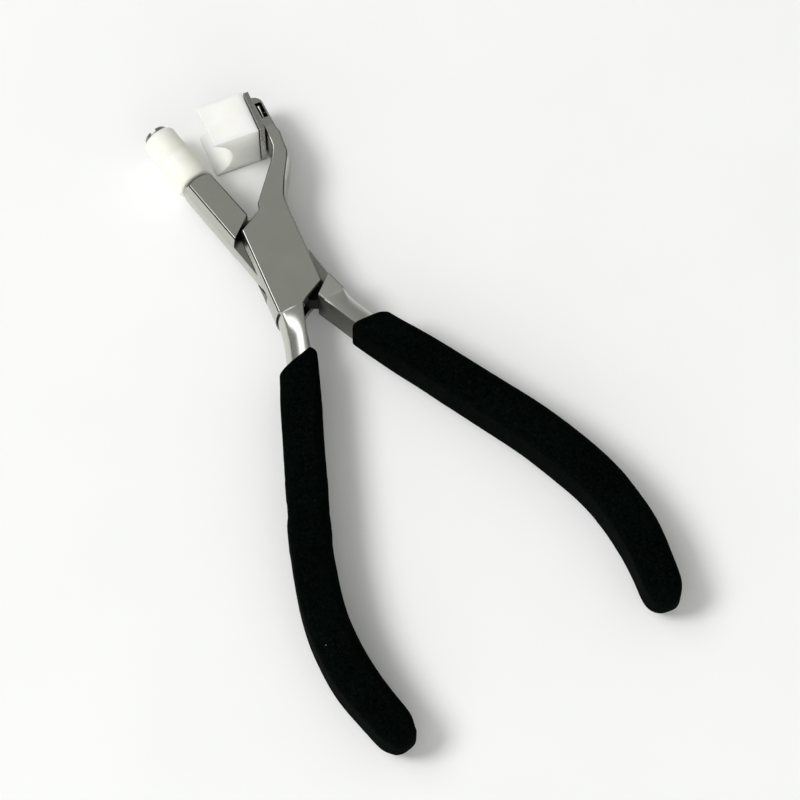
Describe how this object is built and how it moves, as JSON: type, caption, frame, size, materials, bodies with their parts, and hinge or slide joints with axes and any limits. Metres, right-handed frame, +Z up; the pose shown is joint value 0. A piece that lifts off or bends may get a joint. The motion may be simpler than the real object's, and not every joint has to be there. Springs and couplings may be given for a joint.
{
  "type": "optical pliers",
  "caption": "Box-joint optical pliers: a nylon roller on one jaw closes into a grooved nylon block on the other, with black sleeves on both handles.",
  "frame": {"origin": "on the pivot's axis, at the joint's bare upper face", "axes": "+Y towards the jaws, with the two halves turned equally to either side of it; +Z up, out of the joint's upper face; +X towards the jaw with the block"},
  "size_m": [0.0664, 0.1337, 0.0114],
  "materials": {
    "steel": "satin, finely brushed",
    "nylon": "matte ivory nylon",
    "sleeve": "matte black, suede-like"
  },
  "bodies": {
    "box_side": {"box_half": "steel", "pivot_pin": "steel", "back_plate": "steel", "nylon_block": "nylon", "block_screw": "steel", "block_nut": "steel", "upper_locating_pin": "steel", "lower_locating_pin": "steel", "left_grip": "sleeve"},
    "tongue_side": {"tongue_half": "steel", "nylon_roller": "nylon", "roller_screw": "steel", "right_grip": "sleeve"}
  },
  "joints": [
    {"name": "main_pivot", "type": "hinge", "parent": "box_side", "child": "tongue_side", "pos_m": [0, 0, -0.004], "axis": [0, 0, 1], "range_deg": [-12.2, 16]}
  ]
}
